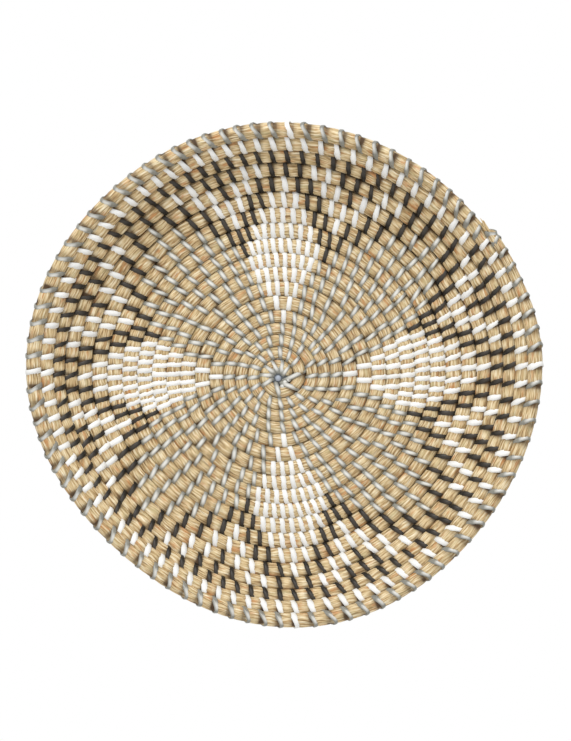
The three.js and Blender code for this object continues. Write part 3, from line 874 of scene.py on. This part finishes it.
def corner_layer(mesh, name, places):
    """Stores a map of two numbers for each corner of a mesh."""
    layer = mesh.attributes.new(name, "FLOAT2", "CORNER")
    layer.data.foreach_set("vector", np.asarray(places, dtype=np.float32).ravel())


# The camera, the light and the floor


def make_camera():
    """A long lens straight in front, framed as the photograph is."""
    data = bpy.data.cameras.new("camera")
    data.sensor_width = SENSOR
    data.lens = SENSOR * CAMERA_TO_RIM / (PHOTO_HEIGHT * PIXEL)
    data.clip_end = CAMERA_REACH
    camera = linked_object("camera", data)
    right = (PHOTO_WIDTH / 2 - EYE_PIXEL[0]) * PIXEL
    up = (EYE_PIXEL[1] - PHOTO_HEIGHT / 2) * PIXEL
    camera.location = (right, -RIM_DEPTH - CAMERA_TO_RIM, up)
    camera.rotation_euler = (math.radians(90), 0, 0)
    bpy.context.scene.camera = camera


def make_lamp(name, place, size, power):
    """A square soft lamp that shines at the basket's middle."""
    data = bpy.data.lights.new(name, "AREA")
    data.shape = "SQUARE"
    data.size = size
    data.energy = power
    lamp = linked_object(name, data)
    lamp.location = place
    aim = -lamp.location
    lamp.rotation_euler = aim.to_track_quat("-Z", "Y").to_euler()


def make_world():
    """Even studio light; what the camera sees, and what gloss shows of it, is a white backdrop."""
    world = bpy.data.worlds.new("studio")
    world.use_nodes = True
    tree = world.node_tree
    tree.nodes.clear()
    rays = add(tree, "ShaderNodeLightPath").outputs
    straight = rays["Is Camera Ray"]
    glossy = add(tree, "ShaderNodeMath", {0: straight, 1: rays["Is Glossy Ray"]}, operation="MAXIMUM")
    seen = add(tree, "ShaderNodeMath", {0: glossy, 1: rays["Is Transmission Ray"]}, operation="MAXIMUM")
    dim = add(tree, "ShaderNodeBackground", {"Color": (1.0, 1.0, 1.0, 1.0), "Strength": WORLD_LIGHT})
    white = add(tree, "ShaderNodeBackground", {"Color": (1.0, 1.0, 1.0, 1.0), "Strength": 1.0})
    mixed = add(tree, "ShaderNodeMixShader", {0: seen, 1: dim, 2: white})
    add(tree, "ShaderNodeOutputWorld", {"Surface": mixed})
    bpy.context.scene.world = world


def make_floor():
    """A plain pale floor, below what the photograph shows."""
    material, tree = new_material("pale_studio_floor")
    shader = add(tree, "ShaderNodeBsdfPrincipled", {"Base Color": linear("efeeec"), "Roughness": 0.8})
    add(tree, "ShaderNodeOutputMaterial", {"Surface": shader})
    half = FLOOR_SIZE / 2
    mesh = bpy.data.meshes.new("studio_floor")
    corners = ((-half, -half), (half, -half), (half, half), (-half, half))
    mesh.from_pydata([(x, y, -FLOOR_BELOW) for x, y in corners], [], [(0, 1, 2, 3)])
    mesh.materials.append(material)
    floor = linked_object("studio_floor", mesh)


# The pieces


def seagrass_pieces(stitches):
    """The bundle, in lengths that meet under a stitch, drawn in at every stitch."""
    tree = wound_bundle_tree()
    knots = np.array([START_TURN] + [stitch[0] for stitch in stitches] + [TURNS])
    shares = np.array(INTERVAL_SHARES)
    turns = (knots[:-1, None] + np.diff(knots)[:, None] * shares[None, :]).ravel()
    turns = np.append(turns, TURNS)
    bulge = np.tile(np.sin(math.pi * shares) ** BULGE_FLATNESS, len(knots) - 1)
    bulge = np.append(bulge, 0.0)
    # Painted shade: beside the stitches, and in the grooves on either side of the bundle, paler in the last
    # turns; the last turn has none on its outer side
    beside = np.append(np.tile(INTERVAL_SHADES, len(knots) - 1), 0.0)
    fade = 1 - RIM_GROOVE_SHADE_FADE * smooth(turns - TURNS + RIM_GROOVE_TURNS)
    has_neighbour = np.where(turns < TURNS - 1, 1.0, 0.0)
    shades = np.stack([OUTER_GROOVE_SHADE * has_neighbour * fade, INNER_GROOVE_SHADE * fade, beside], axis=-1)
    middle, across, front, along, half = coil_frames(turns)
    run = np.concatenate(([0.0], np.cumsum(np.linalg.norm(np.diff(middle, axis=0), axis=1))))
    drawn = 1 - CINCH * (1 - bulge)
    sizes = np.stack([half + ACROSS_OVERLAP, half * drawn, np.ones_like(half)], axis=-1)
    inner = [int(np.argmin(np.abs(knots - limit))) * len(shares) for limit in PIECE_CUTS]
    cuts = [0, *inner, len(turns) - 1]
    for name, low, high in zip(("seagrass_base", "seagrass_wall", "seagrass_rim"), cuts[:-1], cuts[1:]):
        # The first and the last row stand twice, the second time without size, which closes the ends
        rows = np.concatenate(([low], np.arange(low, high + 1), [high]))
        size = sizes[rows]
        size[0] = 0
        size[-1] = 0
        mesh = place_mesh(
            name,
            middle[rows],
            {"across": across[rows], "front": front[rows], "size": size, "shades": shades[rows]},
            {"run": run[rows]},
        )
        piece = apply_tree(
            name,
            mesh,
            tree,
            {
                "Steps round": STEPS_ROUND,
                "Strands": float(STRANDS),
                "Strand depth": STRAND_DEPTH,
                "Squareness": SQUARENESS,
                "Twist per metre": TWIST_PER_METRE,
                "Material": SEAGRASS,
            },
        )
        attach(piece, "root")
        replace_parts(piece, "seagrass_coil")


def twine_pieces(stitches, tree):
    """One piece of twine wraps for each figure of the pattern."""
    figures = {}
    for turn, colour, name in stitches:
        figures.setdefault((name, colour), []).append(turn)
    for (figure, shade), places in figures.items():
        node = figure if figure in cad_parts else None
        turns = np.array(places)
        lean = np.interp(turns, LEAN_TURNS, STITCH_LEANS[shade])
        lean = lean + stitch_draws.normal(0, LEAN_SPREAD, len(turns))
        width = stitch_draws.normal(1, WIDTH_SPREAD, len(turns))
        if shade == "white":
            width = width * np.interp(turns, WHITE_NARROWING_TURNS, (WHITE_NARROWING, 1))
        if shade == "grey":
            width = width * (1 + RIM_GREY_WIDENING * smooth(turns - TURNS + RIM_GREY_TURNS))
        inward = 0.0
        if figure == "eye_grey_wraps":
            middle, across, front, along, half = coil_frames(turns)
            inward = np.hypot(middle[:, 0], middle[:, 2]) - half - EYE_STITCH_RADIUS
        name = f"{figure}_wraps" if node else figure
        wrap_piece(tree, name, shade, node, turns, np.radians(lean), width, inward)


def wrap_piece(tree, name, colour, node, turns, lean, width, inward=0.0):
    """Closed loops of twine round the bundle at the given turns, as one piece.

    Inward: how far they reach past the bundle towards the eye.
    """
    middle, across, front, along, half = coil_frames(turns)
    tilted = across * np.cos(lean)[:, None] + along * np.sin(lean)[:, None]
    middle = middle - across * np.broadcast_to(inward, half.shape)[:, None] / 2
    size = np.stack([(half + inward / 2) / np.cos(lean), half * (1 - CINCH), width], axis=-1)
    tones = stitch_draws.random(len(turns))
    # Painted shade: the grey stitches over the rim are darkened through their tone
    if colour == "grey":
        tones = tones + RIM_GREY_PAINTED_SHADE * smooth(turns - TURNS + RIM_GREY_TURNS)
    mesh = place_mesh(
        name,
        middle,
        {"across": tilted, "front": front, "size": size},
        {"tone_and_rim_shade": tones, "facing": slope_at(turns)},
    )
    piece = apply_tree(
        name,
        mesh,
        tree,
        {
            "Steps": LOOP_STEPS,
            "Sides": LOOP_SIDES,
            "Squareness": SQUARENESS,
            "Width": TWINE_WIDTHS[colour],
            "Thickness share": TWINE_THICKNESS / BASE_PITCH,
            "Material": TWINES[colour],
        },
    )
    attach(piece, "root")
    if node:
        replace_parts(piece, node)


def finishing_pieces(tree):
    """The two crossed wraps over the end of the rim turn."""
    for node, beside, lean in CROSS_STITCHES:
        turn = np.array([CROSS_TURN + beside])
        wrap_piece(tree, f"{node}_wrap", "grey", node, turn, np.radians([lean]), np.array([CROSS_WIDTH]))


def dome(name, place_mm, radii_mm, colour, steps):
    """A closed rounded body of twine, all over in the colour of a stitch's crown."""
    mesh = bpy.data.meshes.new(name)
    work = bmesh.new()
    bmesh.ops.create_uvsphere(work, u_segments=steps[0], v_segments=steps[1], radius=1.0)
    across, depth, up = (part * MM for part in place_mm)
    flat_radius, deep_radius = (part * MM for part in radii_mm)
    for vertex in work.verts:
        x, y, z = vertex.co
        vertex.co = (across + x * flat_radius, depth + z * deep_radius, up - y * flat_radius)
    work.to_mesh(mesh)
    work.free()
    outward_faces(mesh)
    corner_layer(mesh, "thread", np.tile([0.25, 0.0], len(mesh.loops)))
    mesh.materials.append(TWINES[colour])
    for polygon in mesh.polygons:
        polygon.use_smooth = True
    piece = linked_object(name, mesh)
    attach(piece, "root")
    return piece


def eye_pieces():
    """The bed of dark twine in the eye, loops of twine and the knot's light end on it."""
    dome("eye_bed_twine", *EYE_BED, "slate", BED_STEPS)
    for name, place in KNOT_LOOPS:
        dome(f"knot_loop_{name}", place, KNOT_LOOP_RADII, "grey", KNOT_STEPS)
    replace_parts(dome("centre_knot_end", *KNOT_END, "blue", KNOT_STEPS), "centre_knot")


def blade_shell(start, aim, length, side, across, front, first):
    """Points and faces of one closed square blade that narrows to a point."""
    points = []
    for share, half_width in BLADE_WIDTHS_MM:
        centre = start + aim * length * share + across * BLADE_CURL * share * share * side
        for corner in range(4):
            turn = corner * math.pi / 2
            spoke = across * math.cos(turn) + front * math.sin(turn)
            points.append(centre + spoke * half_width * MM)
    points.append(start + aim * length)
    last = len(BLADE_WIDTHS_MM) - 1
    faces = []
    for ring in range(last):
        for corner in range(4):
            here = first + ring * 4 + corner
            beside = first + ring * 4 + (corner + 1) % 4
            faces.append((here, beside, beside + 4, here + 4))
    top = first + last * 4
    faces += [(top + corner, top + (corner + 1) % 4, top + 4) for corner in range(4)]
    faces.append((first + 3, first + 2, first + 1, first))
    return points, faces


def tail_blades():
    """Loose blades that stick out of the end of the bundle, past the finishing stitch."""
    end = np.array([TURNS - BLADE_FROM_END])
    middle, across, front, along, half = (rows[0] for rows in coil_frames(end))
    draws = np.random.default_rng(BLADE_SEED)
    points, faces = [], []
    for blade in range(BLADE_COUNT):
        side, lift = draws.uniform(*BLADE_SIDES), draws.uniform(*BLADE_LIFTS)
        root = across * half * side * BLADE_ROOT_SPREAD + front * half * lift * BLADE_ROOT_SPREAD
        start = middle + root - along * BLADE_ROOT_DEPTH
        aim = along + across * side * BLADE_FAN + front * lift * BLADE_RISE
        aim /= np.linalg.norm(aim)
        length = draws.uniform(*BLADE_LENGTHS_MM) * MM
        shell_points, shell_faces = blade_shell(start, aim, length, side, across, front, len(points))
        points += shell_points
        faces += shell_faces
    mesh = bpy.data.meshes.new("seagrass_tail_blades")
    mesh.from_pydata([tuple(point) for point in points], [], faces)
    outward_faces(mesh)
    places = np.array([mesh.vertices[loop.vertex_index].co for loop in mesh.loops])
    corner_layer(mesh, "fibre", np.stack([places @ along, places @ across + BLADE_MAP_SHIFT], axis=-1))
    mesh.materials.append(SEAGRASS)
    piece = linked_object("seagrass_tail_blades", mesh)
    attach(piece, "root")
    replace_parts(piece, "seagrass_coil")


bpy.context.scene.view_settings.view_transform = "Standard"
make_camera()
make_world()
make_lamp("key_softbox", KEY_LAMP_PLACE, KEY_LAMP_SIZE, KEY_LAMP_POWER)
make_floor()
wraps_tree = twine_wraps_tree()
all_stitches = stitch_list()
seagrass_pieces(all_stitches)
twine_pieces(all_stitches, wraps_tree)
finishing_pieces(wraps_tree)
eye_pieces()
tail_blades()
